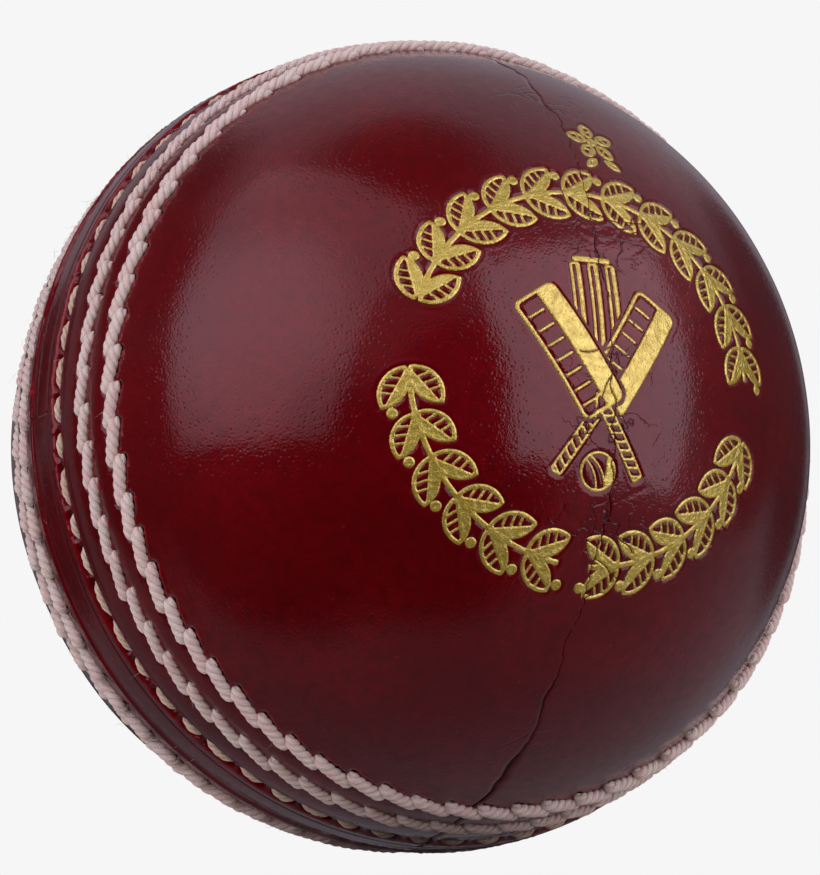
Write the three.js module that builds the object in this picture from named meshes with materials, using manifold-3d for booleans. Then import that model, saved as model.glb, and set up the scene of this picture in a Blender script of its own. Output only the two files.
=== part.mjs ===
// Four-piece cricket ball, in millimetres.
// Frame: origin at the ball's centre, +Y the polar axis (away from the stamped face), +Z up.
// The closing seam stands upright in the XZ plane. The quarter joint of the front cup (-Y) lies in
// the YZ plane, and that of the back cup (+Y) is turned by 90 degrees, into the XY plane.
import * as THREE from 'three';
import { mergeVertices } from 'three/addons/utils/BufferGeometryUtils.js';
import Module from 'manifold-3d';

const wasm = await Module();
wasm.setup();

// Driving dimensions
const BALL_RADIUS = 36.0;          // leather surface over the crowns of the two cups
const LEATHER = 3.4;               // thickness of the cover
const GAP = 0.3;                   // clearance between pieces that touch
const LIP_RISE = 0.5;              // how far the two lips stand over the ball at the closing seam
const BAND_RISE = 0.25;            // swell of the leather between the rows of stitching
const NUCLEUS_RADIUS = 10.7;       // moulded cork and rubber centre
const WOOL = 3.8;                  // thickness of each winding of yarn
const CORK = 3.8;                  // thickness of each layer of cork slips
const TUCK_HOLE = 1.2;             // radius of the hole where a winding's end is tucked in

// Rows of stitching on one cup, from the lip outwards. Arc is the distance from the closing joint,
// measured on the ball, and seat is how far the middle of the thread lies over BALL_RADIUS.
const ROWS = [
  { name: 'inner', arc: 2.0, thread: 0.9, seat: -0.25 },
  { name: 'middle', arc: 6.3, thread: 1.15, seat: 0.3 },
  { name: 'outer', arc: 10.2, thread: 1.25, seat: 0.35 },
];

// Gilt stamping on the front cup. Distances are arcs measured from the pole.
const FOIL = 0.15;                 // thickness of the leaf, which lies flush in its recess
const EMBLEM_RADIUS = 10.9;
const WREATH_INNER = 14.8;
const WREATH_OUTER = 19.9;
const MARK_RADIUS = 2.9;
const MARK_SIDE = 4.5;
const MARK_HEIGHT = 24.3;

// Hidden stitching of the quarter joints, in a channel inside the thickness of the leather
const JOINT_THREAD = 0.8;
const JOINT_ARC_RADIUS = BALL_RADIUS - LEATHER + 1.3;
const JOINT_END = 24 * THREE.MathUtils.DEG2RAD;    // latitude where this stitching stops

const COVER_SEGMENTS = 32;         // facets round the polar axis: cover, rows and foil
const CORE_SEGMENTS = 20;          // the same for the quilted core
const ROD_SIDES = 8;
const ROD_STEPS = 20;
const POLE = Math.PI / 2;

const leather = new THREE.MeshStandardMaterial({ color: 0x5a0c14, roughness: 0.22, metalness: 0 });
const thread = new THREE.MeshStandardMaterial({ color: 0xd8c0bc, roughness: 0.85, metalness: 0 });
const foil = new THREE.MeshStandardMaterial({ color: 0xc9a640, roughness: 0.35, metalness: 0.9 });
const cork = new THREE.MeshStandardMaterial({ color: 0xb98a58, roughness: 0.9, metalness: 0 });
const wool = new THREE.MeshStandardMaterial({ color: 0xcfc3a8, roughness: 0.95, metalness: 0 });
const moulded = new THREE.MeshStandardMaterial({ color: 0x6b4630, roughness: 0.8, metalness: 0 });

const ball = new THREE.Group();
ball.name = 'cricket_ball';

function add(name, geometry, material) {
  const mesh = new THREE.Mesh(geometry, material);
  mesh.name = name;
  ball.add(mesh);
}

// ---- outlines and solids ---------------------------------------------------------------------

// Point of an outline, at a radius and a latitude: x is its distance from the polar axis.
function at(radius, latitude) {
  const fromAxis = radius * Math.cos(latitude);
  return new THREE.Vector2(fromAxis < 1e-6 ? 0 : fromAxis, radius * Math.sin(latitude));
}

function arc(radius, from, to, steps) {
  return Array.from({ length: steps + 1 }, (_, i) => at(radius, from + ((to - from) * i) / steps));
}

// An outline turned about the polar axis. It runs up the outside and down the inside, and it
// starts and ends on the axis, or closes on itself.
function turned(outline, segments) {
  const points = outline[0].x > 0 ? [...outline, outline[0].clone()] : outline;
  return new THREE.LatheGeometry(points, segments);
}

function toSolid(geometry) {
  geometry.deleteAttribute('normal');
  geometry.deleteAttribute('uv');
  const merged = mergeVertices(geometry, 1e-4);
  const corners = merged.index.array;
  const kept = [];
  for (let i = 0; i < corners.length; i += 3) {
    const [a, b, c] = corners.slice(i, i + 3);
    if (a !== b && b !== c && c !== a) kept.push(a, b, c);
  }
  return new wasm.Manifold(new wasm.Mesh({
    numProp: 3,
    vertProperties: new Float32Array(merged.attributes.position.array),
    triVerts: new Uint32Array(kept),
  }));
}

function toGeometry(solid) {
  const { vertProperties, triVerts } = solid.getMesh();
  const geometry = new THREE.BufferGeometry();
  geometry.setAttribute('position', new THREE.BufferAttribute(vertProperties, 3));
  geometry.setIndex(new THREE.BufferAttribute(triVerts, 1));
  geometry.computeVertexNormals();
  return geometry;
}

// The half of space on one side of a plane through the centre, short of it by half a gap.
function halfSpace(axis, sign) {
  const size = 4 * BALL_RADIUS;
  const box = new THREE.BoxGeometry(size, size, size);
  const centre = new THREE.Vector3();
  centre[axis] = (sign * (size + GAP)) / 2;
  return toSolid(box.translate(...centre.toArray()));
}

// ---- quilted core ----------------------------------------------------------------------------

// A winding is one shell of yarn, open at the pole where its end is tucked in.
function winding(inside, outside) {
  const steps = CORE_SEGMENTS / 2;
  const edge = (radius) => new THREE.Vector2(TUCK_HOLE, Math.sqrt(radius ** 2 - TUCK_HOLE ** 2));
  const up = arc(outside, -POLE, POLE, steps).slice(0, -1);
  const down = arc(inside, POLE, -POLE, steps).slice(1);
  return turned([...up, edge(outside), edge(inside), ...down], CORE_SEGMENTS);
}

// Four slips of cork lie from pole to pole, one in each quadrant round the polar axis.
function corkSlips(inside, outside) {
  const steps = CORE_SEGMENTS / 2;
  const end = Math.acos(TUCK_HOLE / inside);
  const outline = [...arc(outside, -end, end, steps), ...arc(inside, end, -end, steps)];
  const shell = toSolid(turned(outline, CORE_SEGMENTS));
  const quadrants = [[1, 1], [-1, 1], [-1, -1], [1, -1]];
  const slip = ([x, z]) => shell.intersect(halfSpace('x', x)).intersect(halfSpace('z', z));
  return quadrants.map((quadrant) => toGeometry(slip(quadrant)));
}

function addCore() {
  const nucleus = arc(NUCLEUS_RADIUS, -POLE, POLE, CORE_SEGMENTS / 2);
  add('cork_rubber_nucleus', turned(nucleus, CORE_SEGMENTS), moulded);
  let radius = NUCLEUS_RADIUS + GAP;
  for (const layer of ['inner', 'outer']) {
    add(`wool_winding_${layer === 'inner' ? 'first' : 'second'}`, winding(radius, radius + WOOL), wool);
    radius += WOOL + GAP;
    corkSlips(radius, radius + CORK).forEach((slip, i) => add(`cork_slip_${layer}_${i + 1}`, slip, cork));
    radius += CORK + GAP;
  }
  add('wool_winding_third', winding(radius, radius + WOOL), wool);
}

// ---- leather cover -----------------------------------------------------------------------------

const latitudeOf = (arcLength) => arcLength / BALL_RADIUS;
const fromPole = (arcLength) => POLE - latitudeOf(arcLength);
const lining = BALL_RADIUS - LEATHER;

// The seam side of a cup: the lip, and a groove for each row of stitching with bands between them.
function seamOutline() {
  const points = [new THREE.Vector2(BALL_RADIUS + LIP_RISE, GAP / 2)];
  let rise = LIP_RISE;
  for (const row of ROWS) {
    const half = row.thread / 2 + GAP;
    const floor = BALL_RADIUS + row.seat - half;
    points.push(at(BALL_RADIUS + rise, latitudeOf(row.arc - half)));
    points.push(at(floor, latitudeOf(row.arc - half)), at(floor, latitudeOf(row.arc + half)));
    rise = row === ROWS.at(-1) ? 0 : BAND_RISE;
    points.push(at(BALL_RADIUS + rise, latitudeOf(row.arc + half)));
  }
  return points;
}

// The stamped crown has a ring-shaped recess for the wreath and a round one for the emblem.
function stampedCrown(start) {
  const floor = BALL_RADIUS - FOIL - GAP;
  return [
    ...arc(BALL_RADIUS, start, fromPole(WREATH_OUTER + GAP), 6).slice(1),
    ...arc(floor, fromPole(WREATH_OUTER + GAP), fromPole(WREATH_INNER - GAP), 2),
    ...arc(BALL_RADIUS, fromPole(WREATH_INNER - GAP), fromPole(EMBLEM_RADIUS + GAP), 1),
    ...arc(floor, fromPole(EMBLEM_RADIUS + GAP), POLE, 3),
  ];
}

// A whole cup, crown towards +Y, before it is parted into its two quarters.
function cup(stamped) {
  const inside = arc(lining, POLE, Math.asin(GAP / 2 / lining), 10);
  const seam = seamOutline();
  const last = ROWS.at(-1);
  const start = latitudeOf(last.arc + last.thread / 2 + GAP);
  const crown = stamped ? stampedCrown(start) : arc(BALL_RADIUS, start, POLE, 10).slice(1);
  return turned([...inside, ...seam, ...crown], COVER_SEGMENTS);
}

// Line of the hidden stitching: an arc over the crown, in the plane of the quarter joint.
class JointArc extends THREE.Curve {
  constructor(across, end) {
    super();
    this.across = across;
    this.end = end;
  }

  getPoint(t) {
    const latitude = this.end + (Math.PI - 2 * this.end) * t;
    const point = this.across.clone().multiplyScalar(JOINT_ARC_RADIUS * Math.cos(latitude));
    point.y = JOINT_ARC_RADIUS * Math.sin(latitude);
    return point;
  }
}

function jointRod(across, halfWidth, end) {
  const section = new THREE.Shape();
  section.absarc(0, 0, halfWidth, 0, 2 * Math.PI);
  const corners = new THREE.Shape(section.getSpacedPoints(ROD_SIDES).slice(0, -1));
  const extrudePath = new JointArc(across, end);
  return new THREE.ExtrudeGeometry(corners, { steps: ROD_STEPS, bevelEnabled: false, extrudePath });
}

// The mark is a small disc, square to the ball's surface above the wreath.
function markDisc(radius, bottom, top) {
  const angle = Math.hypot(MARK_SIDE, MARK_HEIGHT) / BALL_RADIUS;
  const turn = Math.atan2(MARK_SIDE, MARK_HEIGHT);
  const away = Math.sin(angle);
  const out = new THREE.Vector3(away * Math.sin(turn), -Math.cos(angle), away * Math.cos(turn));
  const disc = new THREE.CylinderGeometry(radius, radius, top - bottom, 16);
  disc.translate(0, (top + bottom) / 2, 0);
  return disc.applyQuaternion(new THREE.Quaternion().setFromUnitVectors(new THREE.Vector3(0, 1, 0), out));
}

// Turns a piece made with its crown towards +Y over to the front.
const toFront = (geometry) => geometry.rotateZ(Math.PI);

const upright = new THREE.Vector3(0, 0, 1);
const level = new THREE.Vector3(1, 0, 0);
const markTop = BALL_RADIUS - MARK_RADIUS ** 2 / (2 * BALL_RADIUS);

function addCover() {
  const channel = JOINT_THREAD / 2 + GAP;
  const channelEnd = JOINT_END - GAP / JOINT_ARC_RADIUS;
  const front = toSolid(toFront(cup(true)))
    .subtract(toSolid(toFront(jointRod(upright, channel, channelEnd))))
    .subtract(toSolid(markDisc(MARK_RADIUS + GAP, markTop - FOIL - GAP, BALL_RADIUS + 1)));
  const back = toSolid(cup(false)).subtract(toSolid(jointRod(level, channel, channelEnd)));
  add('leather_quarter_front_left', toGeometry(front.intersect(halfSpace('x', -1))), leather);
  add('leather_quarter_front_right', toGeometry(front.intersect(halfSpace('x', 1))), leather);
  add('leather_quarter_back_upper', toGeometry(back.intersect(halfSpace('z', 1))), leather);
  add('leather_quarter_back_lower', toGeometry(back.intersect(halfSpace('z', -1))), leather);
  add('quarter_joint_thread_front', toFront(jointRod(upright, JOINT_THREAD / 2, JOINT_END)), thread);
  add('quarter_joint_thread_back', jointRod(level, JOINT_THREAD / 2, JOINT_END), thread);
}

// ---- seam stitching and foil ---------------------------------------------------------------------

// A row of stitching is one closed ring of thread in its groove.
function threadRing(row) {
  const centre = at(BALL_RADIUS + row.seat, latitudeOf(row.arc));
  const section = Array.from({ length: 6 }, (_, i) => {
    const angle = (Math.PI * i) / 3;
    return new THREE.Vector2(Math.cos(angle), Math.sin(angle)).multiplyScalar(row.thread / 2).add(centre);
  });
  return turned(section, COVER_SEGMENTS);
}

function addStitching() {
  for (const row of ROWS) {
    add(`seam_thread_front_${row.name}`, toFront(threadRing(row)), thread);
    add(`seam_thread_back_${row.name}`, threadRing(row), thread);
  }
}

function addFoil() {
  const under = BALL_RADIUS - FOIL;
  const [low, high] = [fromPole(WREATH_OUTER), fromPole(WREATH_INNER)];
  const wreath = [...arc(BALL_RADIUS, low, high, 2), ...arc(under, high, low, 2)];
  const edge = fromPole(EMBLEM_RADIUS);
  const emblem = [...arc(under, POLE, edge, 3), ...arc(BALL_RADIUS, edge, POLE, 3)];
  add('foil_wreath', toFront(turned(wreath, COVER_SEGMENTS)), foil);
  add('foil_emblem', toFront(turned(emblem, COVER_SEGMENTS)), foil);
  add('foil_mark', markDisc(MARK_RADIUS, markTop - FOIL, markTop), foil);
}

addCore();
addCover();
addStitching();
addFoil();

export default ball;
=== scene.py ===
"""Looks of the cricket ball: leather cover, six rows of twisted seam thread, gilt stamp and wound core."""

import math

import bmesh
import bpy
import numpy as np
from mathutils import Matrix, Vector


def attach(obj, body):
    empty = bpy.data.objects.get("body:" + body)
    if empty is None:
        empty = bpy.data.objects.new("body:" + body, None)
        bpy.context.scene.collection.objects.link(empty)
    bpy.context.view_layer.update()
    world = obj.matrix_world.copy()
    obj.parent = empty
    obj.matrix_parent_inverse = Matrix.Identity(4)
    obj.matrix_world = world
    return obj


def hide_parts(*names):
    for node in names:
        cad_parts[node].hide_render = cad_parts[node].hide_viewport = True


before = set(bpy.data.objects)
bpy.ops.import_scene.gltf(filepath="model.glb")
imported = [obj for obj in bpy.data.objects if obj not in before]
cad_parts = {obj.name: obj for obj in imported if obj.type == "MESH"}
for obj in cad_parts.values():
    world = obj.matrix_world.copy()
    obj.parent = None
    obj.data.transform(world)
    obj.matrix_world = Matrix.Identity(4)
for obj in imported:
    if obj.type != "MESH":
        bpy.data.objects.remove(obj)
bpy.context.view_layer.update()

# -------- sizes, in mm, as in the CAD part
MM = 0.001
R = 36.0  # leather surface
LINING = 32.6  # flesh side of the leather
QUARTER_ARC = R * math.pi / 2  # from the closing plane to a pole
PARTING = 0.5  # where the two halves meet, towards the front
TAU = 2 * math.pi
FAR = 9.0  # a distance that means nowhere near

# -------- camera
VIEW = Vector((-0.4469, -0.8705, -0.2061))  # from the ball to the camera
RIGHT = Vector((0.8907, -0.4544, -0.0122))
UP = Vector((-0.083, -0.189, 0.9785))
DISTANCE = 0.70
SIDEWAYS, RAISED = -0.000227, 0.000952  # the ball isn't quite in the middle of the picture

camera_data = bpy.data.cameras.new("camera")
camera_data.lens = 317.74
camera_data.sensor_width = 36.0
camera_data.clip_start = 0.05
camera = bpy.data.objects.new("camera", camera_data)
bpy.context.scene.collection.objects.link(camera)
eye = VIEW * DISTANCE + RIGHT * SIDEWAYS + UP * RAISED
camera.matrix_world = Matrix.Translation(eye) @ Matrix((RIGHT, UP, VIEW)).transposed().to_4x4()
bpy.context.scene.camera = camera


# -------- small numeric helpers
def hashed(i, j, k, seed):
    """Repeatable values from -1 to 1 on a lattice, by a common integer hash."""
    h = i.astype(np.uint32) * np.uint32(374761393)
    h ^= j.astype(np.uint32) * np.uint32(668265263)
    h ^= k.astype(np.uint32) * np.uint32(2246822519)
    h += np.uint32(seed * 1013904223 % 2**32)
    h = (h ^ (h >> np.uint32(13))) * np.uint32(1274126177)
    h ^= h >> np.uint32(16)
    return h.astype(np.float64) / 2**31 - 1.0


def noise(p, size, seed):
    """Smooth noise from -1 to 1 at points p (mm), with features of that size (mm)."""
    q = p / size + 1000.0  # keeps the lattice's numbers above zero
    cell = np.floor(q).astype(np.int64)
    f = q - cell
    f = f * f * (3 - 2 * f)
    total = 0.0
    for dx in (0, 1):
        for dy in (0, 1):
            for dz in (0, 1):
                weight = (f[..., 0] if dx else 1 - f[..., 0]) * (f[..., 1] if dy else 1 - f[..., 1])
                weight = weight * (f[..., 2] if dz else 1 - f[..., 2])
                total = total + weight * hashed(cell[..., 0] + dx, cell[..., 1] + dy, cell[..., 2] + dz, seed)
    return total


def smooth(low, high, x):
    """0 at low, 1 at high, with an S between them; low may be the larger."""
    t = np.clip((x - low) / (high - low), 0.0, 1.0)
    return t * t * (3 - 2 * t)


def bell(x, width, power=2.0):
    return np.exp(-np.abs(x / width) ** power)


def direction(s, phi):
    """Unit vector at arc s (mm from the closing plane, + towards the front) and clock angle phi."""
    lat = s / R
    return np.stack([np.cos(lat) * np.cos(phi), -np.sin(lat), np.cos(lat) * np.sin(phi)], axis=-1)


def arc_and_clock(n):
    return R * np.arcsin(np.clip(-n[..., 1], -1, 1)), np.arctan2(n[..., 2], n[..., 0])


def wrapped(angle):
    return (angle + math.pi) % TAU - math.pi


def around(phi, degrees, width, power=2.0):
    """1 at a clock angle, falling to 0 over width radians."""
    return bell(wrapped(phi - math.radians(degrees)), width, power)


def unit(v):
    return v / np.linalg.norm(v, axis=-1, keepdims=True)


def along_surface(v, n):
    """What is left of vectors v once their part along the unit vectors n is taken away."""
    return v - n * np.sum(v * n, axis=-1, keepdims=True)


# -------- how this ball differs round its seam
def fuller(phi):
    """1 at the underside, where the middle ridge stands fuller."""
    return around(phi, 297, 0.62, 2.6)


def buried(phi):
    """1 round the left side, where the back inner row is out of sight in its crease."""
    return around(phi, 208, 0.95, 4)


def slump(s, phi):
    """How far the cover has sunk under the back outer row at the left, less its swelling beyond that row."""
    depth = 0.20 * around(phi, 222, 0.36) + 0.08 * around(phi, 180, 0.40)
    swell = 0.36 * around(phi, 180, 0.36) + 0.16 * around(phi, 228, 0.30)
    under_row = smooth(-7.4, -9.4, s) * smooth(-16.0, -11.5, s)
    beyond_row = smooth(-11.5, -16.0, s) * smooth(-44.0, -20.0, s)
    return depth * under_row - swell * beyond_row


def undulation(p):
    """The cover's slow unevenness, which the foil follows too."""
    return 0.05 * noise(p, 13.0, 1) + 0.016 * noise(p, 4.0, 2)


# -------- rows of stitches
class Row:
    """One row: where each stitch starts, and how far it wanders."""

    def __init__(self, name, side, arc, count, first, radius, seat, slant, seed):
        rng = np.random.default_rng(seed)
        self.name, self.side, self.arc, self.count = name, side, arc, count
        self.radius, self.seat = radius, seat  # of the thread, and how high its middle lies
        self.slant = slant  # how far a stitch's ends lie to each side of its row
        self.inner = "inner" in name
        self.pitch = TAU / count
        spread = 0.08 if self.inner else 0.035
        wander = rng.uniform(-spread, spread, count)
        self.start = math.radians(first) + self.pitch * (np.arange(count) + wander)
        self.shift = rng.uniform(-0.10, 0.10, count)
        self.tone = rng.uniform(0, 1, count)
        self.lift = rng.uniform(-0.05, 0.05, count)
        self.reach = rng.uniform(0.62, 0.95, count) if self.inner else rng.uniform(0.96, 1.06, count)
        self.twist = rng.uniform(0, TAU, count)
        self.climb = np.zeros(count)  # how far a stitch rises from its start to its end
        self.settle()

    def settle(self):
        """Lets the stitches sink or stand proud where the photograph shows it."""
        at, outer = self.start, "outer" in self.name
        if self.inner:
            self.lift += 0.34 * fuller(at)
            if self.side < 0:
                self.lift -= 0.55 * buried(at)
        elif self.side < 0:
            self.climb = 0.80 * around(at, 205, 0.70, 4)
            if outer:  # pulled in deeper away from the left side
                self.lift -= 0.34 * (1 - around(at, 190, 0.42, 4)) + slump(np.full(self.count, -self.arc), at)
                self.lift -= 0.26 * around(at, 180, 0.34)
            else:
                self.lift -= 0.34 * (1 - around(at, 215, 0.80, 4)) - 0.16 * around(at, 225, 0.35)
        elif outer:  # prouder and steeper at the lower right
            self.lift += 0.12 * around(at, 305, 0.45)
            self.reach *= 1 + 0.55 * around(at, 325, 0.65)

    def nearest(self, phi):
        """Index of the nearest stitch start, and the angle from it."""
        k = np.round(wrapped(phi - self.start[0]) / self.pitch).astype(int) % self.count
        return k, wrapped(phi - self.start[k])

    def lean(self, t):
        """Offset towards the pole at t from 0, the start of a stitch, to 1, its end."""
        return self.slant * (1 - 2 * np.clip(t, -0.1, 1.1))


# name, side, arc from the closing plane, stitches, clock of the first one, thread's radius, seat, slant, seed
ROWS = [
    Row("seam_thread_front_outer", 1, 10.2, 66, 168.2, 0.60, 0.36, 0.50, 11),
    Row("seam_thread_front_middle", 1, 6.3, 67, 165.2, 0.53, 0.36, 0.46, 12),
    Row("seam_thread_front_inner", 1, 2.0, 65, 166.0, 0.39, 0.14, 0.0, 13),
    Row("seam_thread_back_outer", -1, 10.2, 66, 166.5, 0.60, 0.36, 0.60, 14),
    Row("seam_thread_back_middle", -1, 6.3, 67, 169.0, 0.60, 0.38, 0.66, 15),
    Row("seam_thread_back_inner", -1, 2.1, 65, 168.0, 0.39, 0.10, 0.0, 16),
]


# -------- the stamp, as distances on a flat map
# u runs along +X and w along +Z from the front pole; both are arc lengths in mm. A shape's distance is
# negative inside it.
CELL = 0.11
U0, U1, W0, W1 = -21.5, 21.5, -22.5, 28.5


def rotated(u, w, cu, cw, angle):
    c, s = math.cos(angle), math.sin(angle)
    return (u - cu) * c + (w - cw) * s, -(u - cu) * s + (w - cw) * c


def disc(u, w, cu, cw, r):
    return np.hypot(u - cu, w - cw) - r


def bar(u, w, half_u, half_w, corner):
    """A rectangle with round corners."""
    a, b = np.abs(u) - half_u + corner, np.abs(w) - half_w + corner
    return np.hypot(np.maximum(a, 0), np.maximum(b, 0)) + np.minimum(np.maximum(a, b), 0) - corner


def stroke(u, w, au, aw, bu, bw, r):
    """A straight line from a to b with round ends."""
    du, dw = bu - au, bw - aw
    t = np.clip(((u - au) * du + (w - aw) * dw) / (du * du + dw * dw), 0, 1)
    return np.hypot(u - au - t * du, w - aw - t * dw) - r


def pointed_oval(u, w, half_length, half_width):
    big = (half_length**2 + half_width**2) / (2 * half_width)
    return np.maximum(np.hypot(u, w - half_width + big), np.hypot(u, w + half_width - big)) - big


def outlined(shape, line):
    return np.abs(shape + line / 2) - line / 2


def all_of(*shapes):
    """The shapes together."""
    total = shapes[0]
    for shape in shapes[1:]:
        total = np.minimum(total, shape)
    return total


def leaf(u, w, cu, cw, angle, half_length, half_width, lit):
    """A leaf with a raised outline, one solid half and one half with veins."""
    line, vein = 0.42, 0.13
    a, b = rotated(u, w, cu, cw, angle)
    whole = pointed_oval(a, b, half_length, half_width)
    gold = all_of(outlined(whole, line), np.maximum(whole, 0.13 - lit * b))
    for at in (-0.95, -0.15, 0.65):
        gold = all_of(gold, np.maximum(stroke(a, b, at, 0, at + 0.5, -lit * 1.2, vein), whole))
    return gold


def wreath(u, w):
    """Three branches round a ring, leaves in pairs on a stem, berries between."""
    stem_radius, half_stem = 17.35, 0.26
    leaf_step, leaf_off, leaf_turn = 13.4, 1.46, 0.60  # degrees, mm from the stem, radians from its line
    berry_radius, berry_size = 19.3, 0.52
    gold = np.full(u.shape, FAR)
    ring = np.hypot(u, w)
    clock = np.degrees(np.arctan2(w, u)) % 360
    for first, last, way in ((161.0, 2.5, -1), (180.0, 263.5, 1), (346.0, 270.5, -1)):
        count = int(round(abs(last - first) / leaf_step))
        step = (last - first) / count
        for i in range(count):
            turn = first + step * (i + 0.5)
            at = math.radians(turn)
            along = at + way * math.pi / 2
            for side in (1, -1):
                radius = stem_radius + side * leaf_off
                cu, cw = radius * math.cos(at), radius * math.sin(at)
                angle, half_length = along - way * side * leaf_turn, 2.30 - 0.10 * (i % 2)
                gold = all_of(gold, leaf(u, w, cu, cw, angle, half_length, 1.28, way * side))
            edge = math.radians(turn + step * 0.5)
            cu, cw = berry_radius * math.cos(edge), berry_radius * math.sin(edge)
            gold = all_of(gold, disc(u, w, cu, cw, berry_size))
        middle, half = (first + last) / 2, abs(last - first) / 2 - 1.5
        past_end = np.radians(np.abs((clock - middle + 180) % 360 - 180) - half) * stem_radius
        gold = all_of(gold, np.maximum(np.abs(ring - stem_radius) - half_stem, past_end))
    return gold


def bat(u, w, cu, cw, angle):
    """A bat along its own w axis, blade up: its gilt, and its whole body."""
    a, b = rotated(u, w, cu, cw, angle)
    blade = bar(a, b - 5.4, 2.3, 6.1, 0.8)
    handle = bar(a, b + 4.1, 0.62, 3.6, 0.4)
    solid_half = np.maximum(blade, 0.25 - a)
    rungs = np.maximum(blade + 0.55, np.abs((b + 0.1) % 1.5 - 0.75) - 0.13 + FAR * (a > 0))
    splice = np.maximum(np.abs(b + 0.7 - 1.6 * (1 - np.abs(a) / 1.2)) - 0.20, np.abs(a) - 1.3)
    grip = np.maximum(handle, np.abs((b + 0.55 * a) % 0.86 - 0.43) - 0.17)
    gold = all_of(outlined(blade, 0.38), solid_half, rungs, splice, outlined(handle, 0.24), grip)
    return gold, np.minimum(blade, handle)


def wicket(u, w):
    """Three stumps and two bails."""
    gold = np.full(u.shape, FAR)
    for at in (-1.75, 0.0, 1.75):
        post = bar(u - at, w - 3.6, 0.52, 6.3, 0.3)
        gold = all_of(gold, outlined(post, 0.27), np.maximum(post, 0.08 - (u - at)))
    return all_of(gold, *(bar(u - at, w - 10.25, 0.95, 0.30, 0.25) for at in (-0.95, 0.95)))


def little_ball(u, w):
    whole = disc(u, w, 0.1, -8.9, 1.8)
    gold = all_of(outlined(whole, 0.30), np.maximum(whole, 0.75 - (u - 0.1)))
    for off in (-0.42, 0.42):  # its seam
        gold = all_of(gold, np.maximum(whole, np.abs(np.hypot(u + 3.0 - off, w + 10.6) - 3.5) - 0.11))
    return gold


def emblem(u, w):
    """Crossed bats before a wicket, with a ball between the handles."""
    tilt, margin = math.radians(33), 0.34  # margin is the bare leather kept round whatever lies in front
    front, front_body = bat(u, w, 0.1, -2.9, tilt)
    back, back_body = bat(u, w, 0.1, -2.9, -tilt)
    bats = np.minimum(front_body, back_body)
    gold = all_of(front, np.maximum(back, 0.32 - front_body))
    return all_of(gold, *(np.maximum(shape, margin - bats) for shape in (wicket(u, w), little_ball(u, w))))


def rosette(u, w):
    """Five petals round a boss, over a pair of small leaves."""
    cu, cw = 4.35, 24.6
    gold = disc(u, w, cu, cw, 0.55)
    for i in range(5):
        angle = math.pi / 2 + TAU * i / 5
        petal_u, petal_w = cu + 1.62 * math.cos(angle), cw + 1.62 * math.sin(angle)
        gold = all_of(gold, leaf(u, w, petal_u, petal_w, angle, 1.12, 0.80, 1))
    for side in (-1, 1):
        gold = all_of(gold, leaf(u, w, cu + side * 1.15, cw - 3.0, -math.pi / 2 + side * 0.9, 1.0, 0.5, side))
    return gold


# -------- the front joint and the cracks beside it
# height and how far the joint lies from the plane x = 0 there
JOINT = ((-36, 0.6), (-33.9, 0.7), (-30.3, 0.95), (-25, 0.45), (-20.9, 0.5), (-14.8, 1.3), (-11.9, 1.85),
         (-4.6, 1.25), (0, 1.2), (6.9, 1.1), (11.4, 0.7), (19, 1.2), (24.7, 1.75), (27.3, 1.05), (30.7, 1.6),
         (36, 1.2))
# height where a crack leaves the joint, and to which side
CRACKS = ((13.0, 1), (12.0, -1), (14.2, -1), (10.8, 1), (15.5, 1), (11.5, 1), (13.5, -1), (2.2, -1), (0.8, 1),
          (-0.5, -1), (-3.8, 1), (-5.6, -1), (-11.8, -1), (-12.8, 1), (-13.6, -1), (-14.4, 1), (-15.4, -1),
          (-16.6, 1), (12.4, 1), (13.2, 1), (12.8, -1), (14.6, 1), (-20.3, 1), (-20.8, -1))
LOWEST_LONG_CRACK = -20  # a crack that starts below this height is short


def joint_bend(z):
    """How far the front joint strays from the plane x = 0 at height z."""
    rng = np.random.default_rng(5)
    bend = np.interp(z, *zip(*JOINT))
    for points, size in ((61, 0.26), (145, 0.16)):  # two sizes of jag
        bend = bend + np.interp(z, np.linspace(-36, 36, points), rng.uniform(-size, size, points))
    return bend


def cracks(u, w):
    """Distance to the joint and to the fine cracks that branch from it inside the stamp."""
    rng = np.random.default_rng(77)
    best = np.abs(u - joint_bend(w))
    for height, side in CRACKS:
        a, b = float(joint_bend(height)), height
        heading = rng.uniform(-0.75, 0.75) + (0.0 if side > 0 else math.pi)
        for _ in range(rng.integers(5, 12) if height > LOWEST_LONG_CRACK else 4):
            step = rng.uniform(0.35, 0.75)
            next_a, next_b = a + step * math.cos(heading), b + step * math.sin(heading)
            near = (np.abs(u - a) < 1.6) & (np.abs(w - b) < 1.6)
            best[near] = np.minimum(best[near], stroke(u[near], w[near], a, b, next_a, next_b, 0.0))
            a, b = next_a, next_b
            heading += rng.uniform(-0.45, 0.45)
    return best


grid_u, grid_w = np.meshgrid(np.arange(U0, U1, CELL), np.arange(W0, W1, CELL))
grid_crack = cracks(grid_u, grid_w)
STAMPS = {"foil_wreath": wreath(grid_u, grid_w), "foil_emblem": emblem(grid_u, grid_w),
          "foil_mark": rosette(grid_u, grid_w)}
grid_gold = all_of(*STAMPS.values())


def on_map(grid, u, w):
    """Reads a map at points, straight-line between its cells."""
    a, b = (u - U0) / CELL, (w - W0) / CELL
    rows, columns = grid.shape
    ok = (a >= 0) & (a < columns - 1.001) & (b >= 0) & (b < rows - 1.001)
    a, b = np.where(ok, a, 0), np.where(ok, b, 0)
    i, j = b.astype(int), a.astype(int)
    f, g = b - i, a - j
    value = (grid[i, j] * (1 - f) * (1 - g) + grid[i, j + 1] * (1 - f) * g
             + grid[i + 1, j] * f * (1 - g) + grid[i + 1, j + 1] * f * g)
    return np.where(ok, value, FAR)


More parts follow.
